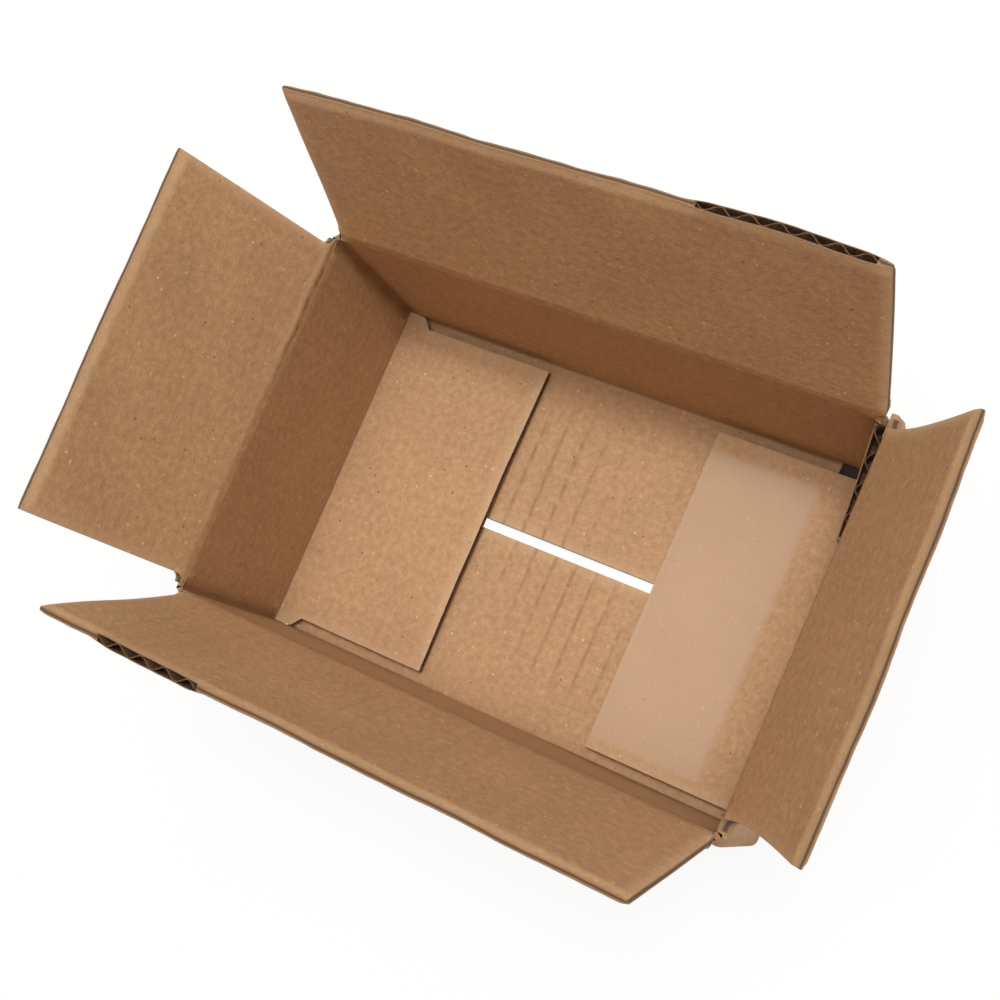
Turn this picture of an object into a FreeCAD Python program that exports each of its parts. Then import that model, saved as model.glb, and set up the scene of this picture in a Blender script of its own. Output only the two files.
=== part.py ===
import FreeCAD, Part
import os
import re
import Sketcher

# A small slotted carton of single-wall corrugated board, standing open on its folded bottom.
# X runs along the long walls, Y along the short walls, Z up. The origin is the middle of the
# bottom, on the surface that the carton stands on. Sizes are millimetres and degrees.

SIZES = {
    # room inside the closed carton
    "insideLength": 152.4,
    "insideWidth": 101.6,
    "insideDepth": 50.8,
    # corrugated board: two liners with a wavy medium between them
    "boardThickness": 3.0,
    "linerThickness": 0.4,
    "mediumThickness": 0.45,
    "flutePitch": 6.4,
    "fluteMargin": 1.0,
    # slots at the corners, seam between the long flaps, play between stacked flaps
    "slotWidth": 10.0,
    "seamGap": 3.0,
    "layerGap": 0.2,
    # creases: depth of the bending line below the outer face, and the crushed board beside it
    "creaseDepth": 0.5,
    "creaseTip": 0.3,
    "outerTaperAngle": 10.0,
    "innerTaperAngle": 42.0,
    "crushedBand": 5.0,
    "cornerRadius": 2.5,
    # glue tab, folded from the back wall and glued inside the right wall
    "tabWidth": 26.0,
    "tabSlope": 33.0,
    "tabPlay": 0.4,
    "jointGap": 0.6,
    # cut off the end of the long bottom flap beside the tab, which leaves a hole in that corner
    "tabSideTrim": 11.4,
    # how far each top flap leans outward from upright
    "frontLean": 16.5,
    "backLean": 18.0,
    "leftLean": 21.5,
    "rightLean": 24.5,
    # how far a cut runs past the board
    "cutMargin": 1.0,
}

doc = FreeCAD.newDocument("Carton")
sheet = doc.addObject("Spreadsheet::Sheet", "Sizes")
for row, (alias, size) in enumerate(SIZES.items(), start=1):
    sheet.set(f"A{row}", alias)
    sheet.set(f"B{row}", str(size))
    sheet.setAlias(f"B{row}", alias)
doc.recompute()


def onSheet(formula):
    """The formula with each size read from the sheet."""
    return re.sub(r"[A-Za-z]+", lambda word: f"Sizes.{word[0]}" if word[0] in SIZES else word[0], formula)


def valueOf(formula):
    """The formula's present value."""
    return float(sheet.evalExpression(onSheet(formula)))


# Faces and bending lines of the upright walls, as distances from the middle.
longInner = "(insideWidth / 2)"
longOuter = "(insideWidth / 2 + boardThickness)"
longHinge = f"({longOuter} - creaseDepth)"
shortInner = "(insideLength / 2)"
shortOuter = "(insideLength / 2 + boardThickness)"
shortHinge = f"({shortOuter} - creaseDepth)"

# Levels, from the ground up. The long bottom flaps lie lowest, the short ones on them, then comes
# the room inside, and the closed top is stacked the same way.
longLow = "creaseDepth"
endFlapFace = "(boardThickness + layerGap)"
shortLow = f"({endFlapFace} + creaseDepth)"
floorLevel = f"({endFlapFace} + boardThickness)"
lidLevel = f"({floorLevel} + insideDepth)"
shortHigh = f"({lidLevel} + boardThickness - creaseDepth)"
longHigh = f"({shortHigh} + boardThickness + layerGap)"

# All flaps are as long as it takes the long ones to meet at the seam.
flapLength = f"({longHinge} - seamGap / 2)"
longFlapWidth = "(insideLength + boardThickness - slotWidth)"
shortFlapWidth = "(insideWidth + boardThickness - slotWidth)"
trimmedFlapWidth = f"({longFlapWidth} - tabSideTrim)"

# The board thins to a blunt tip at a bending line: reach of the taper on each face, half the tip.
innerDepth = "(boardThickness - creaseDepth)"
outerTaper = "(creaseDepth / tan(outerTaperAngle * 1 deg))"
innerTaper = f"({innerDepth} / tan(innerTaperAngle * 1 deg))"
outerTip = "(creaseTip * tan(outerTaperAngle * 1 deg))"
innerTip = "(creaseTip * tan(innerTaperAngle * 1 deg))"

# Section of one flute: half widths of a channel at its liner, at half height and at the crest.
channelWide = "(0.36 * flutePitch)"
channelMiddle = "(flutePitch / 4 - mediumThickness / 2)"
channelNarrow = f"(flutePitch / 2 - mediumThickness - {channelWide})"


def newBody(label):
    body = doc.addObject("PartDesign::Body", label)
    body.Label = label
    return body


def addSketch(body, name, plane, outlines, offset="0"):
    """A sketch of closed outlines on one of the body's own planes, moved along the plane's normal.
    Each outline is a list of corners, and each corner a pair of formulas."""
    sketch = body.newObject("Sketcher::SketchObject", name)
    support = [item for item in body.Origin.OriginFeatures if item.Role == plane][0]
    sketch.AttachmentSupport = [(support, "")]
    sketch.MapMode = "FlatFace"
    sketch.setExpression("AttachmentOffset.Base.z", onSheet(offset))
    for corners in outlines:
        first = sketch.GeometryCount
        points = [FreeCAD.Vector(valueOf(x), valueOf(y), 0) for x, y in corners]
        for start, end in zip(points, points[1:] + points[:1]):
            sketch.addGeometry(Part.LineSegment(start, end))
        for index, (x, y) in enumerate(corners):
            line = first + index
            before = first + (index - 1) % len(corners)
            sketch.addConstraint(Sketcher.Constraint("Coincident", before, 2, line, 1))
            for kind, place in (("DistanceX", x), ("DistanceY", y)):
                made = sketch.addConstraint(Sketcher.Constraint(kind, -1, 1, line, 1, valueOf(place)))
                sketch.setExpression(f"Constraints[{made}]", onSheet(place))
    return sketch


def addFeature(body, kind, name, sketch, length, symmetric=False, backward=False):
    """A pad or pocket of the sketch."""
    feature = body.newObject(f"PartDesign::{kind}", name)
    feature.Profile = sketch
    feature.setExpression("Length", onSheet(length))
    feature.SideType = "Symmetric" if symmetric else "One side"
    feature.Reversed = backward
    feature.Refine = True
    return feature


def mirrored(corners, flipX=False, flipY=False):
    return [(f"-{x}" if flipX else x, f"-{y}" if flipY else y) for x, y in corners]


def channelOutlines(along, outerFace, inward, swapped=False):
    """Sections of the two channels of one flute, one under each liner. along is the middle of the
    first, outerFace the place of the outer liner's face and inward the sign of the way to the other."""
    outerLiner = "linerThickness"
    innerLiner = "(boardThickness - linerThickness)"
    middle = "(boardThickness / 2)"
    outlines = []
    for centre, liner, crest in (
        (along, outerLiner, f"({innerLiner} - mediumThickness)"),
        (f"({along} + flutePitch / 2)", innerLiner, f"({outerLiner} + mediumThickness)"),
    ):
        rightSide = [(channelWide, liner), (channelMiddle, middle), (channelNarrow, crest)]
        leftSide = [(f"-{half}", depth) for half, depth in reversed(rightSide)]
        halves = rightSide + leftSide
        corners = [(f"({centre} + {half})", f"({outerFace} {inward} {depth})") for half, depth in halves]
        outlines.append([(y, x) for x, y in corners] if swapped else corners)
    return outlines


def fluteCount(width):
    """How many flutes fit whole between the margins of a stretch of board."""
    return f"floor(({width} - 2 * fluteMargin - 2 * {channelWide}) / flutePitch + 0.5)"


def firstFlute(width):
    """Middle of the first channel, with the row of channels centred on the board."""
    return f"(-({fluteCount(width)} - 0.5) * flutePitch / 2)"


def cutFlutes(body, name, sketch, axis, length, width, backward):
    """Cuts the two channels of one flute in from a free edge, and repeats them along the edge."""
    channels = addFeature(body, "Pocket", name, sketch, length, backward=backward)
    row = body.newObject("PartDesign::LinearPattern", name + "Row")
    row.Originals = [channels]
    row.Direction = (sketch, [axis])
    row.Mode = "Spacing"
    row.setExpression("Offset", onSheet("flutePitch"))
    row.setExpression("Occurrences", onSheet(fluteCount(width)))
    body.Tip = row
    return row


def roundedCorner(x, y, outward, upward):
    """Corners along the rounded outside of a fold, from its vertical face to its level one. x and y
    give the sharp corner, outward and upward the signs of the ways that it points."""
    corners = []
    for turn in (0, 30, 60, 90):
        across = f"cornerRadius * (1 - cos({turn} deg))"
        along = f"cornerRadius * (1 - sin({turn} deg))"
        inward = "-" if outward == "+" else "+"
        downward = "-" if upward == "+" else "+"
        corners.append((f"({x} {inward} {across})", f"({y} {downward} {along})"))
    return corners


def addWallSleeve():
    """The folded blank: four walls, the glue tab and the two short bottom flaps, one sheet of board."""
    body = newBody("wall_sleeve")

    # Walls in plan. The right wall's free end stops short of the back corner, over the glue tab's fold.
    freeEnd = f"({longOuter} - jointGap)"
    outside = [
        (shortOuter, f"-{longOuter}"),
        (shortOuter, freeEnd),
        (shortInner, freeEnd),
        *roundedCorner(shortInner, longOuter, "+", "+"),
        (f"-{shortOuter}", longOuter),
        (f"-{shortOuter}", f"-{longOuter}"),
    ]
    inside = [
        (shortInner, f"-{longInner}"),
        (shortInner, longInner),
        (f"-{shortInner}", longInner),
        (f"-{shortInner}", f"-{longInner}"),
    ]
    plan = addSketch(body, "WallPlan", "XY_Plane", [outside, inside], offset=shortLow)
    walls = addFeature(body, "Pad", "Walls", plan, f"{shortHigh} - {shortLow}")

    # The folded corners are round outside. Their edges are found by place, to a thousandth.
    doc.recompute()
    closeEnough = 0.001
    corners = []
    for number, edge in enumerate(walls.Shape.Edges, start=1):
        middle = edge.BoundBox.Center
        upright = edge.BoundBox.XLength + edge.BoundBox.YLength < closeEnough
        atX = abs(abs(middle.x) - valueOf(shortOuter)) < closeEnough
        atY = abs(abs(middle.y) - valueOf(longOuter)) < closeEnough
        if upright and atX and atY:
            corners.append(f"Edge{number}")
    rounded = body.newObject("PartDesign::Fillet", "FoldedCorners")
    rounded.Base = (walls, corners)
    rounded.setExpression("Radius", onSheet("cornerRadius"))

    # The long walls reach one board higher and lower than the short ones, between the corner slots.
    high = [
        (longOuter, f"({shortHigh} - boardThickness)"),
        (longOuter, f"({longHigh} - {outerTaper})"),
        (f"({longHinge} + {outerTip})", f"({longHigh} - creaseTip)"),
        (f"({longHinge} - {innerTip})", f"({longHigh} - creaseTip)"),
        (longInner, f"({longHigh} - {innerTaper})"),
        (longInner, f"({shortHigh} - boardThickness)"),
    ]
    low = [
        (longOuter, f"({shortLow} + boardThickness)"),
        (longOuter, f"({longLow} + {outerTaper})"),
        (f"({longHinge} + {outerTip})", f"({longLow} + creaseTip)"),
        (f"({longHinge} - {innerTip})", f"({longLow} + creaseTip)"),
        (longInner, f"({longLow} + {innerTaper})"),
        (longInner, f"({shortLow} + boardThickness)"),
    ]
    edges = [high, low, mirrored(high, flipX=True), mirrored(low, flipX=True)]
    longEdges = addSketch(body, "LongWallEdges", "YZ_Plane", edges)
    addFeature(body, "Pad", "LongWallCreases", longEdges, longFlapWidth, symmetric=True)

    # Glue tab, its ends cut at a slope and clear of the short flaps below and above.
    tabEnd = f"({longInner} - tabWidth)"
    drop = "(tabPlay + tabWidth * tan(tabSlope * 1 deg))"
    tab = [
        (longInner, f"({floorLevel} + tabPlay)"),
        (longInner, f"({lidLevel} - tabPlay)"),
        (tabEnd, f"({lidLevel} - {drop})"),
        (tabEnd, f"({floorLevel} + {drop})"),
    ]
    tabSide = addSketch(body, "GlueTabSide", "YZ_Plane", [tab], offset=shortInner)
    addFeature(body, "Pad", "GlueTab", tabSide, "boardThickness", backward=True)

    # Short bottom flaps.
    freeEdge = f"({shortHinge} - {flapLength})"
    flap = [
        (freeEdge, endFlapFace),
        (shortOuter, endFlapFace),
        (shortOuter, floorLevel),
        (freeEdge, floorLevel),
    ]
    flaps = addSketch(body, "ShortBottomFlapSides", "XZ_Plane", [flap, mirrored(flap, flipX=True)])
    addFeature(body, "Pad", "ShortBottomFlaps", flaps, shortFlapWidth, symmetric=True)

    # The short walls thin to their top bending lines, and round over into their bottom flaps.
    crease = [
        (f"({shortOuter} + cutMargin)", f"({shortHigh} + cutMargin)"),
        (f"({shortInner} - cutMargin)", f"({shortHigh} + cutMargin)"),
        (f"({shortInner} - cutMargin)", f"({shortHigh} - {innerTaper})"),
        (shortInner, f"({shortHigh} - {innerTaper})"),
        (f"({shortHinge} - {innerTip})", f"({shortHigh} - creaseTip)"),
        (f"({shortHinge} + {outerTip})", f"({shortHigh} - creaseTip)"),
        (shortOuter, f"({shortHigh} - {outerTaper})"),
        (f"({shortOuter} + cutMargin)", f"({shortHigh} - {outerTaper})"),
    ]
    fold = [
        (f"({shortOuter} - cornerRadius)", f"({endFlapFace} - cutMargin)"),
        (f"({shortOuter} + cutMargin)", f"({endFlapFace} - cutMargin)"),
        (f"({shortOuter} + cutMargin)", f"({endFlapFace} + cornerRadius)"),
        *roundedCorner(shortOuter, endFlapFace, "+", "-"),
    ]
    cuts = [crease, fold, mirrored(crease, flipX=True), mirrored(fold, flipX=True)]
    shortFolds = addSketch(body, "ShortWallFolds", "XZ_Plane", cuts)
    addFeature(body, "Pocket", "ShortWallCreases", shortFolds, shortFlapWidth, symmetric=True)

    # Open flutes at the free edges of the short bottom flaps, and right through the glue tab.
    flapDepth = f"{flapLength} - crushedBand"
    start = firstFlute(shortFlapWidth)
    outlines = channelOutlines(start, endFlapFace, "+")
    right = addSketch(body, "RightFlapFlutes", "YZ_Plane", outlines, offset=freeEdge)
    cutFlutes(body, "RightFlapChannels", right, "H_Axis", flapDepth, shortFlapWidth, backward=True)
    left = addSketch(body, "LeftFlapFlutes", "YZ_Plane", outlines, offset=f"-{freeEdge}")
    cutFlutes(body, "LeftFlapChannels", left, "H_Axis", flapDepth, shortFlapWidth, backward=False)
    tabStart = f"({longInner} - tabWidth / 2 + {firstFlute('tabWidth')})"
    tabOutlines = channelOutlines(tabStart, shortInner, "-", swapped=True)
    top = addSketch(body, "GlueTabFlutes", "XY_Plane", tabOutlines, offset=lidLevel)
    tabDepth = f"{lidLevel} - {floorLevel} - tabPlay / 2"
    cutFlutes(body, "GlueTabChannels", top, "V_Axis", tabDepth, "tabWidth", backward=False)
    return body


def addFlap(label, width, hinge, heading, turn):
    """A loose flap. It is drawn about its own bending line, the X axis: it runs along Y, with its
    outer face upward. It is then turned about that line, faced into the box and set on its hinge."""
    body = newBody(label)
    side = [
        ("creaseTip", outerTip),
        ("creaseTip", f"-{innerTip}"),
        (innerTaper, f"-{innerDepth}"),
        (flapLength, f"-{innerDepth}"),
        (flapLength, "creaseDepth"),
        (outerTaper, "creaseDepth"),
    ]
    profile = addSketch(body, label + "_side", "YZ_Plane", [side])
    addFeature(body, "Pad", label + "_board", profile, width, symmetric=True)
    outlines = channelOutlines(firstFlute(width), "creaseDepth", "-")
    flutes = addSketch(body, label + "_flutes", "XZ_Plane", outlines, offset=f"-{flapLength}")
    depth = f"{flapLength} - crushedBand"
    cutFlutes(body, label + "_channels", flutes, "H_Axis", depth, width, backward=True)
    turned = FreeCAD.Rotation(FreeCAD.Vector(1, 0, 0), turn)
    faced = FreeCAD.Rotation(FreeCAD.Vector(0, 0, 1), heading)
    body.Placement = FreeCAD.Placement(FreeCAD.Vector(*hinge), faced.multiply(turned))
    return body


frontY = -valueOf(longHinge)
backY = valueOf(longHinge)
leftX = -valueOf(shortHinge)
rightX = valueOf(shortHinge)
trimmedX = -valueOf("tabSideTrim") / 2
lowZ = valueOf(longLow)
longZ = valueOf(longHigh)
shortZ = valueOf(shortHigh)

# Headings turn a flap's Y axis to the way from its hinge into the box. A turn of 0 is shut at the
# top, 90 upright and 180 shut at the bottom, where the outer face looks down.
intoFront, intoBack, intoLeft, intoRight = 0, 180, -90, 90
upright = 90
bottomShut = 180

subParts = [
    addWallSleeve(),
    addFlap("top_flap_front", longFlapWidth, (0, frontY, longZ), intoFront, upright + valueOf("frontLean")),
    addFlap("top_flap_back", longFlapWidth, (0, backY, longZ), intoBack, upright + valueOf("backLean")),
    addFlap("top_flap_left", shortFlapWidth, (leftX, 0, shortZ), intoLeft, upright + valueOf("leftLean")),
    addFlap("top_flap_right", shortFlapWidth, (rightX, 0, shortZ), intoRight, upright + valueOf("rightLean")),
    addFlap("bottom_flap_front", longFlapWidth, (0, frontY, lowZ), intoBack, bottomShut),
    addFlap("bottom_flap_back", trimmedFlapWidth, (trimmedX, backY, lowZ), intoFront, bottomShut),
]
doc.recompute()

for item in doc.Objects:
    if "Invalid" in item.State or "Error" in item.State:
        raise RuntimeError(f"{item.Label} did not compute: {item.State}")

os.makedirs("parts", exist_ok=True)
for part in subParts:
    if part.Shape.isNull() or not part.Shape.isValid():
        raise RuntimeError(f"{part.Label} has no valid shape")
    part.Shape.exportStep(f"parts/{part.Label}.step")
    box = part.Shape.BoundBox
    print(part.Label, len(part.Shape.Solids), "solid", round(part.Shape.Volume), "mm3, from",
          [round(v, 2) for v in (box.XMin, box.YMin, box.ZMin)], "to",
          [round(v, 2) for v in (box.XMax, box.YMax, box.ZMax)])
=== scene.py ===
import math
import bpy
import numpy as np
from mathutils import Matrix, Vector


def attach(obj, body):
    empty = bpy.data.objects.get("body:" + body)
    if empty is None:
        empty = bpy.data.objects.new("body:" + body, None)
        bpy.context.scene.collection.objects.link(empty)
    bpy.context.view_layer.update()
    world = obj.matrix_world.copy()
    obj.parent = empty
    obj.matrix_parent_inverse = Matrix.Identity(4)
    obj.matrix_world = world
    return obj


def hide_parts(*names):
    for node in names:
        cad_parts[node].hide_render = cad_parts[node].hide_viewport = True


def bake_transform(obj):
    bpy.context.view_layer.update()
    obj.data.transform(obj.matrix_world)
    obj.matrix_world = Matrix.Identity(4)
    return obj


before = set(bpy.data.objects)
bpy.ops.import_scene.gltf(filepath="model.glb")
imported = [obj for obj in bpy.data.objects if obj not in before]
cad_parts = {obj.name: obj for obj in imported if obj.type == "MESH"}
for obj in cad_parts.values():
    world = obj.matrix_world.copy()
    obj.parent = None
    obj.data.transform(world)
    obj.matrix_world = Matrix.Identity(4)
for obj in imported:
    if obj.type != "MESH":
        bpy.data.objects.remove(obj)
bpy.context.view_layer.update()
print("frame loaded,", len(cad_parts), "nodes")

# Lengths are millimetres until a mesh is made, and angles are degrees.
metre = 0.001

# Camera. Its place and turn were fitted to the corners of the carton in the picture.
camera = {
    "place": (119.984, -31.684, 373.253),
    "rightward": (0.871312, 0.397108, -0.288305),
    "upward": (-0.357327, 0.916093, 0.181907),
    "backward": (0.336351, -0.055479, 0.940101),
    "lens": 49.353,
    "shift": (-0.01713, 0.07155),
}


def addCamera(values):
    data = bpy.data.cameras.new("studioCamera")
    data.lens = values["lens"]
    data.sensor_width = 36
    data.shift_x, data.shift_y = values["shift"]
    data.clip_start, data.clip_end = 0.01, 20
    turn = Matrix([values["rightward"], values["upward"], values["backward"]]).transposed()
    place = Matrix.Translation(Vector(values["place"]) * metre)
    item = bpy.data.objects.new("studioCamera", data)
    item.matrix_world = place @ turn.to_4x4()
    bpy.context.scene.collection.objects.link(item)
    bpy.context.scene.camera = item


addCamera(camera)
print("camera placed")

# Board, and how the blank is laid out. out points out of the box and along runs along the wall,
# counter-clockwise seen from above. blank is where the middle of the wall lies on the flat blank,
# and ends are the outside corners at both ends of the wall. bow is how far its middle stands out,
# print how deep the flutes show through, and the front wall's last entry how much paler the low part
# of its inside is painted, as painted light.
board = {
    "thickness": 3.0,
    "liner": 0.34,
    "medium": 0.3,
    "pitch": 6.4,
    "outsideRadius": 2.5,
    "insideRadius": 0.7,
    "tabInsideRadius": 0.3,
    "column": 0.8,
    "cornerSteps": 7,
    "rimSqueeze": 1.4,      # how much thinner the board is pressed at the top of the corners
    "outsideMarks": (0.5, 0.25, 0.0),   # shares of line, shade and painted sheen that the outer face shows
}
walls = {
    "tab": {"out": (1, 0), "along": (0, 1), "face": 76.05, "half": 48.0, "ends": (24.8, 53.8),
            "blank": -130, "bow": 0.0, "print": 0.02},
    "back": {"out": (0, 1), "along": (-1, 0), "face": 53.8, "half": 72.7, "ends": (76.05, 79.2),
             "blank": 0, "bow": 0.5, "print": 0.02},
    "left": {"out": (-1, 0), "along": (0, -1), "face": 79.2, "half": 47.3, "ends": (53.8, 53.8),
             "blank": 130, "bow": 0.35, "print": 0.02},
    "front": {"out": (0, -1), "along": (1, 0), "face": 53.8, "half": 72.7, "ends": (79.2, 79.2),
              "blank": 260, "bow": 0.6, "print": 0.02, "rubbedAndPaintedLight": 0.4},
    "right": {"out": (1, 0), "along": (0, 1), "face": 79.2, "half": 47.3, "ends": (53.8, 53.2),
              "blank": 390, "bow": 0.35, "print": 0.02},
}
longTop, shortTop, longLow = 62.7, 59.5, 0.5  # levels of the bending lines
hingeDepth = 0.5                              # bending lines below the outer face
longSeam, shortSeam = 3.2, 2.8                # from a top bending line down to where its wall begins
cornerTop, cornerLow = 59.5, 3.7              # the walls between the flaps
lowSeam, endSeam = 5.0, 10.0                  # where the walls pass into the bottom flaps
flapLength = 51.8
everywhere = 50.0                             # a distance that no mark reaches


def smooth(x):
    x = np.clip(x, 0, 1)
    return x * x * (3 - 2 * x)


# Gentle unevenness between about -1 and 1, the same in each run.
def ripple(x, y, seed, size):
    draw = np.random.default_rng(seed)
    total = 0
    for share in (1.0, 0.6, 0.4, 0.3):
        turn, shift = draw.uniform(0, 6.28, 2)
        step = 6.28 * share ** -0.9 / size
        total = total + share * np.sin(step * (x * math.cos(turn) + y * math.sin(turn)) + shift)
    return total / 1.6


# How the liner sinks between the flute tips, from -1 to 1.
def flutePrint(u):
    return np.cos(2 * math.pi * u / board["pitch"])


# How far a wall stands out of its plane. It stays in place at its corners and creases.
def wallShift(name, u, z):
    wall = walls[name]
    across = np.clip(1 - (u / min(wall["ends"])) ** 2, 0, 1)
    upright = np.sin(np.clip((z - 3) / 57, 0, 1) * math.pi)
    uneven = 0.12 * ripple(u, z, wall["blank"] + 500, 55)
    return across * upright * (wall["bow"] + uneven) + wall["print"] * flutePrint(u)


# Point in a wall: u along it, z up, depth from its outer face.
def wallPoint(name, u, z, depth):
    wall = walls[name]
    u, z, depth = np.broadcast_arrays(*(np.asarray(a, float) for a in (u, z, depth)))
    out = wall["face"] - depth + wallShift(name, u, z)
    x = out * wall["out"][0] + u * wall["along"][0]
    y = out * wall["out"][1] + u * wall["along"][1]
    return np.stack([x, y, z], -1)


def newShell():
    return {"points": [], "faces": [], "finish": [], "blank": [], "marks": [], "edge": [], "count": 0}


# Marks on the liner: a dark line at creases and inside corners, painted shade (below 0, painted light) and
# painted sheen.
def marksOf(line=0.0, shade=0.0, glossAndPaintedSheen=0.0):
    return np.stack(np.broadcast_arrays(*(np.asarray(v, float) for v in (line, shade, glossAndPaintedSheen))), -1)


# Adds points with what their finish needs: their place on the blank, their marks and their
# distance from the nearest cut edge. Gives back their numbers.
def addPoints(shell, points, blank, marks, edge):
    shape = points.shape[:-1]
    start = shell["count"]
    total = int(np.prod(shape))
    shell["points"].append(points.reshape(-1, 3))
    shell["blank"].append(np.broadcast_to(blank, shape + (3,)).reshape(-1, 3))
    shell["marks"].append(np.broadcast_to(marks, shape + (3,)).reshape(-1, 3))
    shell["edge"].append(np.broadcast_to(edge, shape).reshape(-1))
    shell["count"] += total
    return start + np.arange(total).reshape(shape)


# Adds faces given as arrays of their corners' numbers.
def addFaces(shell, corners, finish):
    grid = np.stack(np.broadcast_arrays(*corners), -1).reshape(-1, len(corners))
    shell["faces"].extend(grid.tolist())
    shell["finish"].extend([finish] * len(grid))


linerFinish, edgeFinish, mediumFinish = 0, 1, 2


# A closed piece of board between two grids of points, outer and inner. Rows run away from the
# wall and columns along it. With a pocket, the last rows are hollow between the liners, apart
# from the columns of both margins. Without one, rim is the finish of the face at the last row.
def addBoard(shell, outer, inner, blank, marks, edge, pocket=0, margins=(2, 2), flip=False, rim=edgeFinish):
    outer, inner, blank = (np.asarray(v, float) for v in (outer, inner, blank))
    marks = np.broadcast_to(marks, outer.shape)
    edge = np.broadcast_to(edge, outer.shape[:2])
    if flip:
        outer, inner, blank = outer[:, ::-1], inner[:, ::-1], blank[:, ::-1]
        marks, edge, margins = marks[:, ::-1], edge[:, ::-1], margins[::-1]
    o = addPoints(shell, outer, blank * (1, 1, 0), marks * board["outsideMarks"], edge)
    i = addPoints(shell, inner, blank * (1, 1, 0) + (0, 0, 40), marks, edge)
    addFaces(shell, (o[:-1, :-1], o[:-1, 1:], o[1:, 1:], o[1:, :-1]), linerFinish)
    addFaces(shell, (i[:-1, :-1], i[1:, :-1], i[1:, 1:], i[:-1, 1:]), linerFinish)
    addFaces(shell, (i[0, :-1], i[0, 1:], o[0, 1:], o[0, :-1]), edgeFinish)
    addFaces(shell, (o[:-1, 0], o[1:, 0], i[1:, 0], i[:-1, 0]), edgeFinish)
    addFaces(shell, (i[:-1, -1], i[1:, -1], o[1:, -1], o[:-1, -1]), edgeFinish)
    if not pocket:
        addFaces(shell, (o[-1, :-1], o[-1, 1:], i[-1, 1:], i[-1, :-1]), rim)
        return
    first, last = margins[0], outer.shape[1] - 1 - margins[1]
    rows, columns = slice(-pocket, None), slice(first, last + 1)
    share = board["liner"] / board["thickness"]
    outerLiner = outer[rows, columns] * (1 - share) + inner[rows, columns] * share
    innerLiner = outer[rows, columns] * share + inner[rows, columns] * (1 - share)
    core = blank[rows, columns] * (1, 1, 0) + (0, 0, 20)
    a = addPoints(shell, outerLiner, core, marksOf(), edge[rows, columns])
    b = addPoints(shell, innerLiner, core, marksOf(), edge[rows, columns])
    addFaces(shell, (a[:-1, :-1], a[1:, :-1], a[1:, 1:], a[:-1, 1:]), mediumFinish)
    addFaces(shell, (b[:-1, :-1], b[:-1, 1:], b[1:, 1:], b[1:, :-1]), mediumFinish)
    addFaces(shell, (b[:-1, 0], b[1:, 0], a[1:, 0], a[:-1, 0]), mediumFinish)
    addFaces(shell, (a[:-1, -1], a[1:, -1], b[1:, -1], b[:-1, -1]), mediumFinish)
    addFaces(shell, (a[0, :-1], a[0, 1:], b[0, 1:], b[0, :-1]), mediumFinish)
    end, back = o[-1], i[-1]
    addFaces(shell, (end[first:last], end[first + 1:last + 1], a[-1, 1:], a[-1, :-1]), edgeFinish)
    addFaces(shell, (b[-1, :-1], b[-1, 1:], back[first + 1:last + 1], back[first:last]), edgeFinish)
    for low, high in ((0, first - 1), (last + 1, outer.shape[1] - 1)):
        here, after = slice(low, high), slice(low + 1, high + 1)
        addFaces(shell, (end[here], end[after], back[after], back[here]), edgeFinish)
    near = (end[first - 1], end[first], a[-1, 0], b[-1, 0], back[first], back[first - 1])
    far = (end[last], end[last + 1], back[last + 1], back[last], b[-1, -1], a[-1, -1])
    addFaces(shell, near, edgeFinish)
    addFaces(shell, far, edgeFinish)


# Adds a node, sets its properties, sockets and a ramp's stops, and links what comes in. A key of
# links is an input's name or number, and its value a node and the name or number of its output.
def addNode(tree, kind, links=None, sockets=None, stops=None, **settings):
    node = tree.nodes.new(kind)
    for key, value in settings.items():
        setattr(node, key, value)
    for number, (place, colour) in enumerate(stops or []):
        marks = node.color_ramp.elements
        mark = marks[number] if number < len(marks) else marks.new(place)
        mark.position, mark.color = place, colour
    for name, value in (sockets or {}).items():
        node.inputs[name].default_value = value
    for name, (source, output) in (links or {}).items():
        tree.links.new(source.outputs[output], node.inputs[name])
    return node


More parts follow.
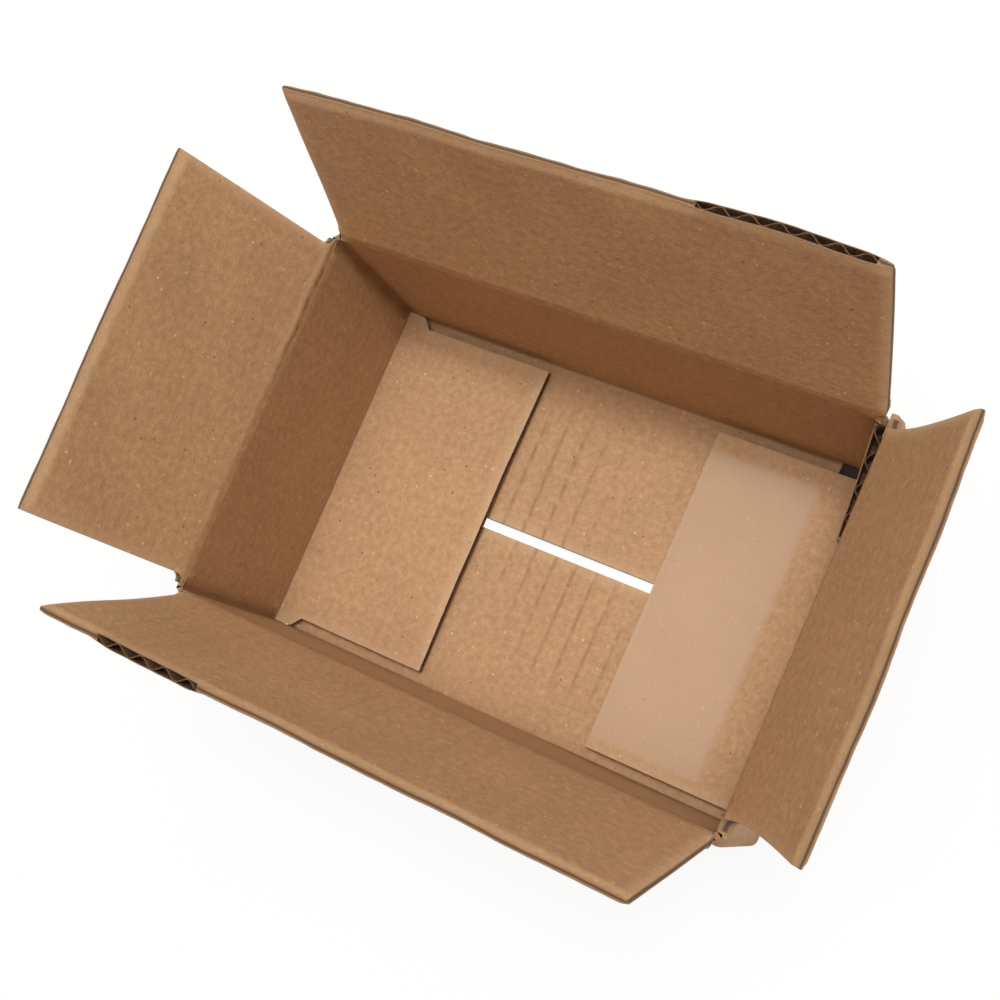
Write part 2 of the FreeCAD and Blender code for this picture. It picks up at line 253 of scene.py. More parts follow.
# Fluting medium, the wavy sheet between the liners. It is seen at the open edges only.
def mediumTree():
    tree = bpy.data.node_groups.new("flutingMedium", "GeometryNodeTree")
    face = tree.interface
    face.new_socket("Geometry", in_out="INPUT", socket_type="NodeSocketGeometry")
    for name in ("Width", "Depth", "Pitch", "Swing", "Thickness"):
        face.new_socket(name, in_out="INPUT", socket_type="NodeSocketFloat")
    face.new_socket("Material", in_out="INPUT", socket_type="NodeSocketMaterial")
    face.new_socket("Geometry", in_out="OUTPUT", socket_type="NodeSocketGeometry")
    given = addNode(tree, "NodeGroupInput")
    flutes = addNode(tree, "ShaderNodeMath", {0: (given, "Width"), 1: (given, "Pitch")}, operation="DIVIDE")
    steps = addNode(tree, "ShaderNodeMath", {0: (flutes, 0)}, {1: 20}, operation="MULTIPLY")
    grid = addNode(tree, "GeometryNodeMeshGrid",
                   {"Size X": (given, "Width"), "Size Y": (given, "Depth"), "Vertices X": (steps, 0)},
                   {"Vertices Y": 4})
    place = addNode(tree, "GeometryNodeInputPosition")
    parts = addNode(tree, "ShaderNodeSeparateXYZ", {0: (place, 0)})
    turns = addNode(tree, "ShaderNodeMath", {0: (parts, "X"), 1: (given, "Pitch")}, operation="DIVIDE")
    angle = addNode(tree, "ShaderNodeMath", {0: (turns, 0)}, {1: 2 * math.pi}, operation="MULTIPLY")
    wave = addNode(tree, "ShaderNodeMath", {0: (angle, 0)}, operation="SINE")
    height = addNode(tree, "ShaderNodeMath", {0: (wave, 0), 1: (given, "Swing")}, operation="MULTIPLY")
    lift = addNode(tree, "ShaderNodeCombineXYZ", {"Z": (height, 0)})
    waved = addNode(tree, "GeometryNodeSetPosition", {"Geometry": (grid, "Mesh"), "Offset": (lift, 0)})
    half = addNode(tree, "ShaderNodeMath", {0: (given, "Thickness")}, {1: -0.5}, operation="MULTIPLY")
    down = addNode(tree, "ShaderNodeCombineXYZ", {"Z": (half, 0)})
    lowered = addNode(tree, "GeometryNodeSetPosition", {"Geometry": (waved, 0), "Offset": (down, 0)})
    thick = addNode(tree, "GeometryNodeExtrudeMesh",
                    {"Mesh": (lowered, 0), "Offset Scale": (given, "Thickness")}, {"Individual": False})
    under = addNode(tree, "GeometryNodeFlipFaces", {"Mesh": (lowered, 0)})
    both = addNode(tree, "GeometryNodeJoinGeometry")
    tree.links.new(thick.outputs["Mesh"], both.inputs[0])
    tree.links.new(under.outputs[0], both.inputs[0])
    merged = addNode(tree, "GeometryNodeMergeByDistance", {"Geometry": (both, 0)}, {"Distance": 0.0001})
    real = addNode(tree, "GeometryNodeRealizeInstances", {"Geometry": (merged, 0)})
    dressed = addNode(tree, "GeometryNodeSetMaterial",
                      {"Geometry": (real, 0), "Material": (given, "Material")})
    addNode(tree, "NodeGroupOutput", {0: (dressed, 0)})
    return tree


# Points and faces of a flat strip of medium, in millimetres about its own middle.
def mediumSheet(width, depth):
    item = bpy.data.objects.new("mediumStrip", bpy.data.meshes.new("mediumStrip"))
    bpy.context.scene.collection.objects.link(item)
    step = item.modifiers.new("fluting", "NODES")
    step.node_group = fluting
    swing = (board["thickness"] - 2 * board["liner"] - board["medium"]) / 2 + 0.04
    given = {"Width": width, "Depth": depth, "Pitch": board["pitch"], "Swing": swing,
             "Thickness": board["medium"], "Material": finishes["medium"]}
    for socket in fluting.interface.items_tree:
        if socket.in_out == "INPUT" and socket.name in given:
            step[socket.identifier] = given[socket.name]
    bpy.context.view_layer.update()
    shown = item.evaluated_get(bpy.context.evaluated_depsgraph_get())
    mesh = bpy.data.meshes.new_from_object(shown)
    points = np.array([v.co for v in mesh.vertices], float).reshape(-1, 3)
    faces = [list(f.vertices) for f in mesh.polygons]
    item.modifiers.remove(step)
    bpy.data.objects.remove(item)
    bpy.data.meshes.remove(mesh)
    return points, faces


# A strip of medium in a pocket, from reach back by depth. pointAt gives the place of a point from
# u, v and its depth from the outer face.
def addMedium(shell, pointAt, low, high, reach, depth, blankX, blankY, flip=False):
    points, faces = mediumSheet(high - low, depth)
    u = points[:, 0] + (low + high) / 2
    v = reach - depth / 2 + points[:, 1]
    inBoard = board["thickness"] / 2 - points[:, 2]
    placed = pointAt(u, v, inBoard)
    blank = np.stack([blankX + u, blankY + v, np.full(len(u), 20.0)], -1)
    numbers = addPoints(shell, placed, blank, marksOf(), reach - v)
    start = int(numbers[0])
    for face in faces:
        corners = [start + k for k in face]
        shell["faces"].append(corners[::-1] if flip else corners)
    shell["finish"].extend([mediumFinish] * len(faces))


# Turns the collected points and faces into one mesh object, in metres.
def makePiece(name, shell):
    mesh = bpy.data.meshes.new(name)
    points = np.concatenate(shell["points"]) * metre
    mesh.from_pydata(points.tolist(), [], shell["faces"])
    layers = {"blank": ("blankPlace", "FLOAT_VECTOR", "vector"),
              "marks": ("linerMarks", "FLOAT_VECTOR", "vector"),
              "edge": ("edgeDistance", "FLOAT", "value")}
    for key, (label, kind, field) in layers.items():
        values = np.concatenate(shell[key]).astype(np.float32)
        mesh.attributes.new(label, kind, "POINT").data.foreach_set(field, values.ravel())
    for key in ("liner", "edge", "medium"):
        mesh.materials.append(finishes[key])
    mesh.polygons.foreach_set("material_index", shell["finish"])
    mesh.polygons.foreach_set("use_smooth", [True] * len(mesh.polygons))
    mesh.update()
    mesh.set_sharp_from_angle(angle=math.radians(40))
    item = bpy.data.objects.new(name, mesh)
    bpy.context.scene.collection.objects.link(item)
    return item


# Finishes. All patterns follow the blank, in millimetres, so that they run on over the folds.
def linear(code):
    parts = [int(code[k:k + 2], 16) / 255 for k in (1, 3, 5)]
    return tuple(c / 12.92 if c <= 0.04045 else ((c + 0.055) / 1.055) ** 2.4 for c in parts) + (1,)


kraft = {
    "dark": "#ad8862",
    "middle": "#b8926b",
    "light": "#c39d76",
    "darkSpeck": "#5d432d",
    "lightSpeck": "#e8cfae",
    # next: rubbed liner, also painted light; crease lines, also painted shade lines; painted shade; painted
    # sheen
    "rubbedAndPaintedLight": "#cdae8b",
    "line": "#65401f",
    "shade": "#6f4c33",
    "paintedSheenPatch": "#bda287",
    "cut": "#a58360",
    "cutDark": "#655040",
    "medium": "#7b5c42",
    "mediumDark": "#4c3626",
}


def grey(value):
    return (value, value, value, 1)


def newMaterial(name):
    material = bpy.data.materials.new(name)
    material.use_nodes = True
    material.node_tree.nodes.clear()
    return material, material.node_tree


# Unbleached kraft liner: a matt brown paper of long fibres. It gives the eye soft mottling, a
# pebbled surface with dark and light specks, and faint stripes where it sinks over the flutes.
def kraftLiner():
    material, tree = newMaterial("unbleachedKraftLiner")
    place = addNode(tree, "ShaderNodeAttribute", attribute_name="blankPlace")
    edge = addNode(tree, "ShaderNodeAttribute", attribute_name="edgeDistance")
    marks = addNode(tree, "ShaderNodeAttribute", attribute_name="linerMarks")
    mark = addNode(tree, "ShaderNodeSeparateXYZ", {0: (marks, "Vector")})
    onBlank = {"Vector": (place, "Vector")}
    tint = {"data_type": "RGBA"}

    # clouds of about 20 mm, mottling of about 2 mm and grain of about 0.7 mm
    clouds = addNode(tree, "ShaderNodeTexNoise", onBlank, {"Scale": 0.05, "Detail": 2, "Roughness": 0.5})
    mottle = addNode(tree, "ShaderNodeTexNoise", onBlank, {"Scale": 0.5, "Detail": 3, "Roughness": 0.6})
    grain = addNode(tree, "ShaderNodeTexNoise", onBlank, {"Scale": 1.5, "Detail": 3, "Roughness": 0.6})
    base = addNode(tree, "ShaderNodeValToRGB", {0: (mottle, 0)}, stops=[
        (0.3, linear(kraft["dark"])), (0.7, linear(kraft["light"])), (0.5, linear(kraft["middle"]))])
    cloudShade = addNode(tree, "ShaderNodeMapRange", {"Value": (clouds, 0)},
                         {"From Min": 0.3, "From Max": 0.7, "To Min": 0.95, "To Max": 1.03})
    grainShade = addNode(tree, "ShaderNodeMapRange", {"Value": (grain, 0)},
                         {"From Min": 0.3, "From Max": 0.7, "To Min": 0.88, "To Max": 1.08})
    base = addNode(tree, "ShaderNodeMix", {6: (base, 0), 7: (cloudShade, 0)}, {0: 1.0},
                   blend_type="MULTIPLY", **tint)

    # the stripes are painted shade of the washboard
    # faint stripes where the liner sinks between the flute tips
    across = addNode(tree, "ShaderNodeSeparateXYZ", {0: (place, "Vector")})
    turns = addNode(tree, "ShaderNodeMath", {0: (across, "X")}, {1: 2 * math.pi / board["pitch"]},
                    operation="MULTIPLY")
    stripe = addNode(tree, "ShaderNodeMath", {0: (turns, 0)}, operation="COSINE")
    stripeShade = addNode(tree, "ShaderNodeMapRange", {"Value": (stripe, 0)},
                          {"From Min": -1, "From Max": 1, "To Min": 0.975, "To Max": 1.0})
    for value in (grainShade, stripeShade):
        base = addNode(tree, "ShaderNodeMix", {6: (base, 2), 7: (value, 0)}, {0: 1.0},
                       blend_type="MULTIPLY", **tint)

    # dark specks of bark and light specks of bare fibre, 0.4 to 0.8 mm across
    bark = addNode(tree, "ShaderNodeTexVoronoi", onBlank, {"Scale": 0.17})
    barkMask = addNode(tree, "ShaderNodeValToRGB", {0: (bark, 0)},
                       stops=[(0.03, grey(0.75)), (0.075, grey(0))])
    fibre = addNode(tree, "ShaderNodeTexVoronoi", onBlank, {"Scale": 0.23, "Randomness": 1.0})
    fibreMask = addNode(tree, "ShaderNodeValToRGB", {0: (fibre, 0)},
                        stops=[(0.04, grey(0.6)), (0.1, grey(0))])
    for mask, colour in ((barkMask, "darkSpeck"), (fibreMask, "lightSpeck")):
        base = addNode(tree, "ShaderNodeMix", {0: (mask, 0), 6: (base, 2)},
                       {7: linear(kraft[colour])}, **tint)

    # a rubbed band along the cut edges
    shaken = addNode(tree, "ShaderNodeMath", {0: (mottle, 0)}, {1: 2.4, 2: -1.2}, operation="MULTIPLY_ADD")
    fromEdge = addNode(tree, "ShaderNodeMath", {0: (edge, "Fac"), 1: (shaken, 0)}, operation="ADD")
    band = addNode(tree, "ShaderNodeMapRange", {"Value": (fromEdge, 0)},
                   {"From Min": 0.0, "From Max": 4.0, "To Min": 0.4, "To Max": 0.0},
                   interpolation_type="SMOOTHSTEP")
    base = addNode(tree, "ShaderNodeMix", {0: (band, 0), 6: (base, 2)}, {7: linear(kraft["rubbedAndPaintedLight"])}, **tint)

    # painted sheen on the right end flap; painted shade at the folds and inside corners, and below 0 paler
    # (painted light); and dark lines: crushed fibres in the top creases, painted shade in corners and flute
    # valleys
    paintedSheen = addNode(tree, "ShaderNodeMapRange", {"Value": (mottle, 0)},
                      {"From Min": 0.3, "From Max": 0.7, "To Min": 0.85, "To Max": 0.45})
    paintedSheen = addNode(tree, "ShaderNodeMath", {0: (mark, "Z"), 1: (paintedSheen, 0)}, operation="MULTIPLY")
    base = addNode(tree, "ShaderNodeMix", {0: (paintedSheen, 0), 6: (base, 2)},
                   {7: linear(kraft["paintedSheenPatch"])}, **tint)
    shade = addNode(tree, "ShaderNodeMath", {0: (mark, "Y")}, {1: 0.0}, operation="MAXIMUM")
    paleWearAndPaintedLight = addNode(tree, "ShaderNodeMath", {0: (mark, "Y")}, {1: -1.0}, operation="MULTIPLY")
    paleWearAndPaintedLight = addNode(tree, "ShaderNodeMath", {0: (paleWearAndPaintedLight, 0)}, {1: 0.0}, operation="MAXIMUM")
    base = addNode(tree, "ShaderNodeMix", {0: (shade, 0), 6: (base, 2)}, {7: linear(kraft["shade"])}, **tint)
    base = addNode(tree, "ShaderNodeMix", {0: (paleWearAndPaintedLight, 0), 6: (base, 2)}, {7: linear(kraft["rubbedAndPaintedLight"])}, **tint)
    broken = addNode(tree, "ShaderNodeMapRange", {"Value": (grain, 0)},
                     {"From Min": 0.35, "From Max": 0.6, "To Min": 0.55, "To Max": 1.0})
    line = addNode(tree, "ShaderNodeMath", {0: (mark, "X"), 1: (broken, 0)}, operation="MULTIPLY")
    base = addNode(tree, "ShaderNodeMix", {0: (line, 0), 6: (base, 2)}, {7: linear(kraft["line"])}, **tint)

    # matt, with shiny flecks of pressed fibre, and smoother in the patch of painted sheen
    flecks = addNode(tree, "ShaderNodeTexNoise", onBlank, {"Scale": 1.9, "Detail": 2})
    gloss = addNode(tree, "ShaderNodeValToRGB", {0: (flecks, 0)},
                    stops=[(0.66, grey(0.7)), (0.76, grey(0.35))])
    smoother = addNode(tree, "ShaderNodeMath", {0: (mark, "Z")}, {1: -0.12, 2: 1.0}, operation="MULTIPLY_ADD")
    roughness = addNode(tree, "ShaderNodeMath", {0: (gloss, 0), 1: (smoother, 0)}, operation="MULTIPLY")
    relief = addNode(tree, "ShaderNodeMath", {0: (mottle, 0), 1: (grain, 0)}, operation="ADD")
    bump = addNode(tree, "ShaderNodeBump", {"Height": (relief, 0)}, {"Strength": 0.5, "Distance": 0.00022})
    paper = addNode(tree, "ShaderNodeBsdfPrincipled",
                    {"Base Color": (base, 2), "Roughness": (roughness, 0), "Normal": (bump, 0)},
                    {"IOR": 1.45, "Specular IOR Level": 0.4})
    addNode(tree, "ShaderNodeOutputMaterial", {0: (paper, 0)})
    return material


# The die-cut edge of the board, pressed shut: two pale liners with the dark medium between them.
def cutEdge():
    material, tree = newMaterial("dieCutBoardEdge")
    place = addNode(tree, "ShaderNodeAttribute", attribute_name="blankPlace")
    layers = addNode(tree, "ShaderNodeSeparateXYZ", {0: (place, "Vector")})
    fibres = addNode(tree, "ShaderNodeTexNoise", {"Vector": (place, "Vector")},
                     {"Scale": 1.3, "Detail": 4, "Roughness": 0.7})
    layer = addNode(tree, "ShaderNodeMath", {0: (layers, "Z")}, {1: 1 / 40}, operation="MULTIPLY")
    colour = addNode(tree, "ShaderNodeValToRGB", {0: (layer, 0)}, stops=[
        (0.18, linear(kraft["cut"])), (0.82, linear(kraft["cut"])),
        (0.38, linear(kraft["cutDark"])), (0.62, linear(kraft["cutDark"]))])
    uneven = addNode(tree, "ShaderNodeMapRange", {"Value": (fibres, 0)},
                     {"From Min": 0.3, "From Max": 0.7, "To Min": 0.7, "To Max": 1.1})
    base = addNode(tree, "ShaderNodeMix", {6: (colour, 0), 7: (uneven, 0)}, {0: 1.0},
                   data_type="RGBA", blend_type="MULTIPLY")
    bump = addNode(tree, "ShaderNodeBump", {"Height": (fibres, 0)}, {"Strength": 0.6, "Distance": 0.0002})
    paper = addNode(tree, "ShaderNodeBsdfPrincipled", {"Base Color": (base, 2), "Normal": (bump, 0)},
                    {"Roughness": 0.85, "Specular IOR Level": 0.25})
    addNode(tree, "ShaderNodeOutputMaterial", {0: (paper, 0)})
    return material


# Recycled fluting paper: short-fibred, dull and darker than the liners.
def flutingPaper():
    material, tree = newMaterial("recycledFlutingPaper")
    place = addNode(tree, "ShaderNodeAttribute", attribute_name="blankPlace")
    fibres = addNode(tree, "ShaderNodeTexNoise", {"Vector": (place, "Vector")},
                     {"Scale": 1.1, "Detail": 4, "Roughness": 0.7})
    colour = addNode(tree, "ShaderNodeValToRGB", {0: (fibres, 0)}, stops=[
        (0.35, linear(kraft["mediumDark"])), (0.65, linear(kraft["medium"]))])
    paper = addNode(tree, "ShaderNodeBsdfPrincipled", {"Base Color": (colour, 0)},
                    {"Roughness": 0.9, "Specular IOR Level": 0.2})
    addNode(tree, "ShaderNodeOutputMaterial", {0: (paper, 0)})
    return material


finishes = {"liner": kraftLiner(), "edge": cutEdge(), "medium": flutingPaper()}
fluting = mediumTree()
print("finishes made")


# Evenly spaced values from low to high, about one step apart.
def spread(low, high, step):
    return np.linspace(low, high, max(2, int(round((high - low) / step)) + 1))


def columnsOf(half):
    return spread(-half, half, board["column"])


# The sleeve: four walls, the glue tab and the two short bottom flaps.
sleeve = {
    "rows": 26,
    "tabTop": (56.6, 39.7),     # levels at the fold and at the free end
    "tabLow": (6.6, 23.5),
    "tabLean": 0.25,            # how far the free end stands off the right wall
    "endFlapReach": 26.9,       # free edge, from the middle of the carton
    "endFlapLow": 3.2,          # underside, just over the long flaps
    "foldRadius": {"left": 0.7, "right": 4.2},
    "endLift": {"left": 1.1, "right": 0.15},    # how far the middle has sprung up
    "foldLine": {"left": 0.95, "right": 0.0},   # how dark the painted shade line in the fold's inside corner is
    "foldShade": {"left": 0.1, "right": 0.2},
    "cornerFill": {"left": (3.4, 7.0), "right": (3.1, 3.1)},   # closes the corner: width and length
    "paintedSheenPatch": {"long": 36.0, "soft": 2.2, "sides": (3.0, 5.5)},   # the right one's patch of painted sheen, which is also less rough
    "cornerShade": {"tab": 0.5, "back": 0.62, "left": 0.5, "front": 0.3},
}


# Where the inner liner lies beside u on the outer one: its way round a corner is shorter.
def innerAlong(name, u):
    wall = walls[name]
    end = wall["ends"][0 if u < 0 and name != "tab" else 1]
    if abs(u) <= wall["half"] + 0.02 or name == "right" and u > 0:
        return u
    inside = board["tabInsideRadius" if name == "tab" or name == "back" and u < 0 else "insideRadius"]
    outerLimit = end - board["outsideRadius"]
    innerLimit = end - board["thickness"] - inside
    share = (innerLimit - wall["half"]) / (outerLimit - wall["half"])
    return math.copysign(wall["half"] + (abs(u) - wall["half"]) * share, u)


# The outer liner is pressed in towards the top of the corners.
def rimSqueeze(z):
    return board["rimSqueeze"] * smooth((z - cornerTop + 5) / 5)


# Points of a folded corner between two walls, from 0 at the first to 1 at the second.
def cornerPoint(before, after, share, z, depth):
    inside = board["tabInsideRadius" if before == "tab" else "insideRadius"]
    radius = inside if depth else board["outsideRadius"]
    first, second = walls[before], walls[after]
    angle = share * math.pi / 2
    depth = depth + (0 if depth else 1) * rimSqueeze(z)
    point = np.zeros((len(z), 3))
    for axis in (0, 1):
        point[:, axis] = (first["out"][axis] * (first["face"] - depth - radius + radius * math.cos(angle))
                          + second["out"][axis] * (second["face"] - depth - radius + radius * math.sin(angle)))
    point[:, 2] = z
    return point


# The walls are one strip, from the fold of the glue tab round to the right wall's free end.
def addWallStrip(shell):
    share = np.linspace(0, 1, sleeve["rows"] + 1)
    cornerZ = cornerLow + (cornerTop - cornerLow) * share
    thickness = board["thickness"]
    outer, inner, blank, marks, edge = [], [], [], [], []

    # painted shade and a dark painted line in the inside corners, and painted light on the front wall's inside
    def cornerMarks(corner, fromCorner, rubbedAndPaintedLight=0.0):
        shade = sleeve["cornerShade"][corner] * (1 - smooth(fromCorner / 5.5))
        uneven = 0.85 + 0.15 * ripple(cornerZ, 0 * cornerZ, 61, 12)
        paleWearAndPaintedLight = rubbedAndPaintedLight * smooth(fromCorner / 9) * smooth((cornerTop - cornerZ) / 16)
        return marksOf(0.35 * (1 - smooth(fromCorner / 0.8)) + 0 * cornerZ, shade * uneven - paleWearAndPaintedLight)

    def addCorner(before, after):
        for step in np.linspace(0, 1, board["cornerSteps"] + 1)[0 if before == "tab" else 1:-1]:
            outer.append(cornerPoint(before, after, step, cornerZ, 0.0))
            inner.append(cornerPoint(before, after, step, cornerZ, thickness))
            start = walls[after]["blank"] - walls[after]["ends"][0]
            onBlank = start + (2 * step - 1) * board["outsideRadius"]
            blank.append(np.stack([np.full(len(share), onBlank), cornerZ, 0 * cornerZ], -1))
            marks.append(cornerMarks(before, 0.0))
            edge.append(0 * share + everywhere)

    def addStraight(name, before, low, high, z):
        squeeze = rimSqueeze(z) if high < -walls[name]["half"] or low > walls[name]["half"] else 0 * z
        for u in spread(low, high, board["column"]):
            outer.append(wallPoint(name, u, z, squeeze))
            inner.append(wallPoint(name, innerAlong(name, u), z, thickness))
            blank.append(np.stack([0 * z + walls[name]["blank"] + u, z, 0 * z], -1))
            fromCorner = walls[name]["ends"][0 if u < 0 else 1] - abs(u) - thickness
            corner = before if u < 0 else name
            # painted light: the front wall's inside is painted paler low down, away from its corners
            rubbedAndPaintedLight = walls[name].get("rubbedAndPaintedLight", 0.0)
            free = corner == "right"      # the end that laps over the glue tab
            marks.append(marksOf(0 * z) if free else cornerMarks(corner, max(0.0, fromCorner), rubbedAndPaintedLight))
            edge.append(0 * share + everywhere)

    beside = 0.01
    names = ["tab", "back", "left", "front", "right"]
    for before, name in zip(names, names[1:]):
        wall = walls[name]
        half = wall["half"]
        addCorner(before, name)
        low, high = (lowSeam, cornerTop) if name in ("front", "back") else (endSeam, shortTop - shortSeam)
        addStraight(name, before, board["outsideRadius"] - wall["ends"][0], -half - beside, cornerZ)
        addStraight(name, before, -half, half, low + (high - low) * share)
        last = wall["ends"][1] - (0 if name == "right" else board["outsideRadius"])
        addStraight(name, before, half + beside, last, cornerZ)
    stacked = [np.stack(v, 1) for v in (outer, inner, blank, marks, edge)]
    addBoard(shell, *stacked, rim=linerFinish)


# The glue tab lies against the inside of the right wall, cut at a slope so that its flutes show.
def addGlueTab(shell):
    wall = walls["tab"]
    thickness = board["thickness"]
    start, fold = wall["ends"][0], wall["ends"][1] - board["outsideRadius"]

    def levels(u):
        along = (fold - u) / (fold - start)
        return [ends[0] + along * (ends[1] - ends[0]) for ends in (sleeve["tabLow"], sleeve["tabTop"])]

    def pointAt(u, v, depth):
        point = wallPoint("tab", u, v, depth)
        lean = np.clip((fold - u) / (fold - start), 0, 1) ** 2 * sleeve["tabLean"]
        point[..., 0] -= lean
        return point

    us = spread(start, fold, board["column"])
    innerUs = np.array([innerAlong("tab", u) for u in us])
    share = np.concatenate([np.linspace(0, 0.86, 22), np.linspace(0.88, 1, 9)])[:, None]
    low, high = levels(us)
    z = low + (high - low) * share
    u = np.broadcast_to(us, z.shape)
    blank = np.stack([wall["blank"] + u, z, 0 * z], -1)
    marks = marksOf(0 * z, sleeve["cornerShade"]["tab"] * (1 - smooth((fold - u) / 5)))
    edge = np.minimum(high - z, u - start)
    first, rest, depth = 1, 1, 5.0
    addBoard(shell, pointAt(u, z, 0.0), pointAt(innerUs + 0 * z, z, thickness), blank, marks, edge,
             pocket=9, margins=(first, rest))
    low, high = us[first], us[-1 - rest]
    addMedium(shell, lambda u, v, inBoard: pointAt(u, levels(u)[1] + v, inBoard), low, high, 0.0, depth,
              wall["blank"], 56.0)


# Points along a quarter turn, and along the straight stretches on both sides of it, as distance
# inward from the wall's face and level. far is how far it runs inward.
def foldLine(top, depth, radius, level, far, straight, bend, along):
    points = [(depth, z) for z in np.linspace(top, level + radius, straight)]
    for step in np.linspace(0, 1, bend + 1)[1:]:
        angle = step * math.pi / 2
        points.append((depth + radius * (1 - math.cos(angle)), level + radius * (1 - math.sin(angle))))
    points += [(inward, level) for inward in depth + radius + (far - depth - radius) * along[1:]]
    return np.array(points)


# How far the free edge of a flap is squeezed by the cutting die: 0 is open flutes, 1 is flat.
def squeezed(u, v, reach, opened, seed, most=0.62):
    shut = 1.0 + 0 * u
    if opened:
        shut = 1 - 0.75 * smooth((u - opened[0]) / 8 + 0.5) * (1 - smooth((u - opened[1]) / 8 + 0.5))
    uneven = 0.9 + 0.1 * ripple(u, 0 * u, seed, 17)
    return most * shut * uneven * smooth((v - reach + 3.0) / 3.0)


# How many columns stay shut before and after the open stretch.
def shutColumns(us, opened):
    return int(np.sum(us < opened[0])), int(np.sum(us > opened[1]))


# A short bottom flap, from the wall through its fold to its free edge. It is fixed to the sleeve.
def addEndFlap(shell, name):
    wall = walls[name]
    thickness = board["thickness"]
    far = wall["face"] - sleeve["endFlapReach"]
    along = np.concatenate([np.linspace(0, 0.84, 17), np.linspace(0.86, 1, 9)])
    level, radius = sleeve["endFlapLow"], sleeve["foldRadius"][name]
    outerLine = foldLine(endSeam, 0.0, board["outsideRadius"], level, far, 4, 7, along)
    innerLine = foldLine(endSeam, thickness, radius, level + thickness, far, 4, 7, along)
    us = columnsOf(wall["half"])
    pathLength = np.concatenate([[0], np.cumsum(np.hypot(*np.diff(outerLine, axis=0).T))])
    reach = pathLength[-1]

    def lines(u, v):
        return [np.stack([np.interp(v, pathLength, line[:, k]) for k in (0, 1)], -1)
                for line in (outerLine, innerLine)]

    def pointAt(u, v, depth):
        u, v = np.broadcast_arrays(np.asarray(u, float), v)
        outerAt, innerAt = lines(u, v)
        share = depth / thickness
        share = share + (0.5 - share) * squeezed(u, v, reach, None, wall["blank"] + 77, 0.3)
        at = outerAt * (1 - share)[..., None] + innerAt * share[..., None]
        flat = smooth((v - 12) / 30)
        lift = sleeve["endLift"][name] * flat * np.clip(1 - (u / wall["half"]) ** 2, 0, 1)
        lift = lift + 0.2 * flat * (ripple(u, v, wall["blank"] + 5, 40) + 1)
        out = wall["face"] - at[..., 0] + (wallShift(name, u, at[..., 1])) * (1 - smooth((v - 3) / 5))
        x = out * wall["out"][0] + u * wall["along"][0]
        y = out * wall["out"][1] + u * wall["along"][1]
        return np.stack([x, y, at[..., 1] + lift + wall["print"] * flutePrint(u) * flat], -1)

    v = pathLength[:, None] + 0 * us
    u = us + 0 * v
    blank = np.stack([wall["blank"] + u, endSeam - v, 0 * v], -1)
    edge = np.minimum(reach - v, wall["half"] - np.abs(u))

    # the slot ends in a rounding beside the fold, which closes the corner of the bottom
    inward = np.interp(v, pathLength, innerLine[:, 0]) - thickness
    fill, fillLength = sleeve["cornerFill"][name]
    gone = np.clip(inward / fillLength, 0, 1)
    widen = fill * (1 - np.sqrt(1 - (1 - gone) ** 2) if name == "right" else np.sqrt(1 - gone ** 8))
    widen = np.where(inward > 0.02, widen, 0) * smooth((np.abs(u) / wall["half"] - 0.88) / 0.12)
    placeU = u + np.sign(u) * widen

    # painted shade: a dark line and a soft band in the fold's inside corner
    middle = (endSeam - level - board["outsideRadius"]) + board["outsideRadius"] * math.pi / 4
    line = sleeve["foldLine"][name] * np.exp(-((v - middle) / 1.1) ** 2)
    shade = sleeve["foldShade"][name] * np.exp(-((v - middle) / 4.5) ** 2)
    glossAndPaintedSheen = 0 * v
    # painted sheen: the right flap's patch is painted paler where it catches the light
    if name == "right":
        patch = sleeve["paintedSheenPatch"]
        glossAndPaintedSheen = 1 - smooth((reach - v - patch["long"]) / patch["soft"] + 0.5)
        for side, width in zip((-1, 1), patch["sides"]):
            glossAndPaintedSheen = glossAndPaintedSheen * smooth((wall["half"] + side * -u - width) / patch["soft"] + 0.5)
    marks = marksOf(line, shade, glossAndPaintedSheen)
    addBoard(shell, pointAt(placeU, v, 0 * v), pointAt(placeU, v, 0 * v + thickness), blank, marks, edge,
             pocket=7, flip=True)
    addMedium(shell, pointAt, us[2], us[-3], reach, 4.5, wall["blank"], endSeam - reach, flip=True)


sleeveShell = newShell()
addWallStrip(sleeveShell)
addGlueTab(sleeveShell)
addEndFlap(sleeveShell, "left")
addEndFlap(sleeveShell, "right")
sleevePiece = makePiece("sleeveBoard", sleeveShell)
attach(sleevePiece, "carton")
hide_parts("wall_sleeve")
print("sleeve made,", len(sleevePiece.data.polygons), "faces")

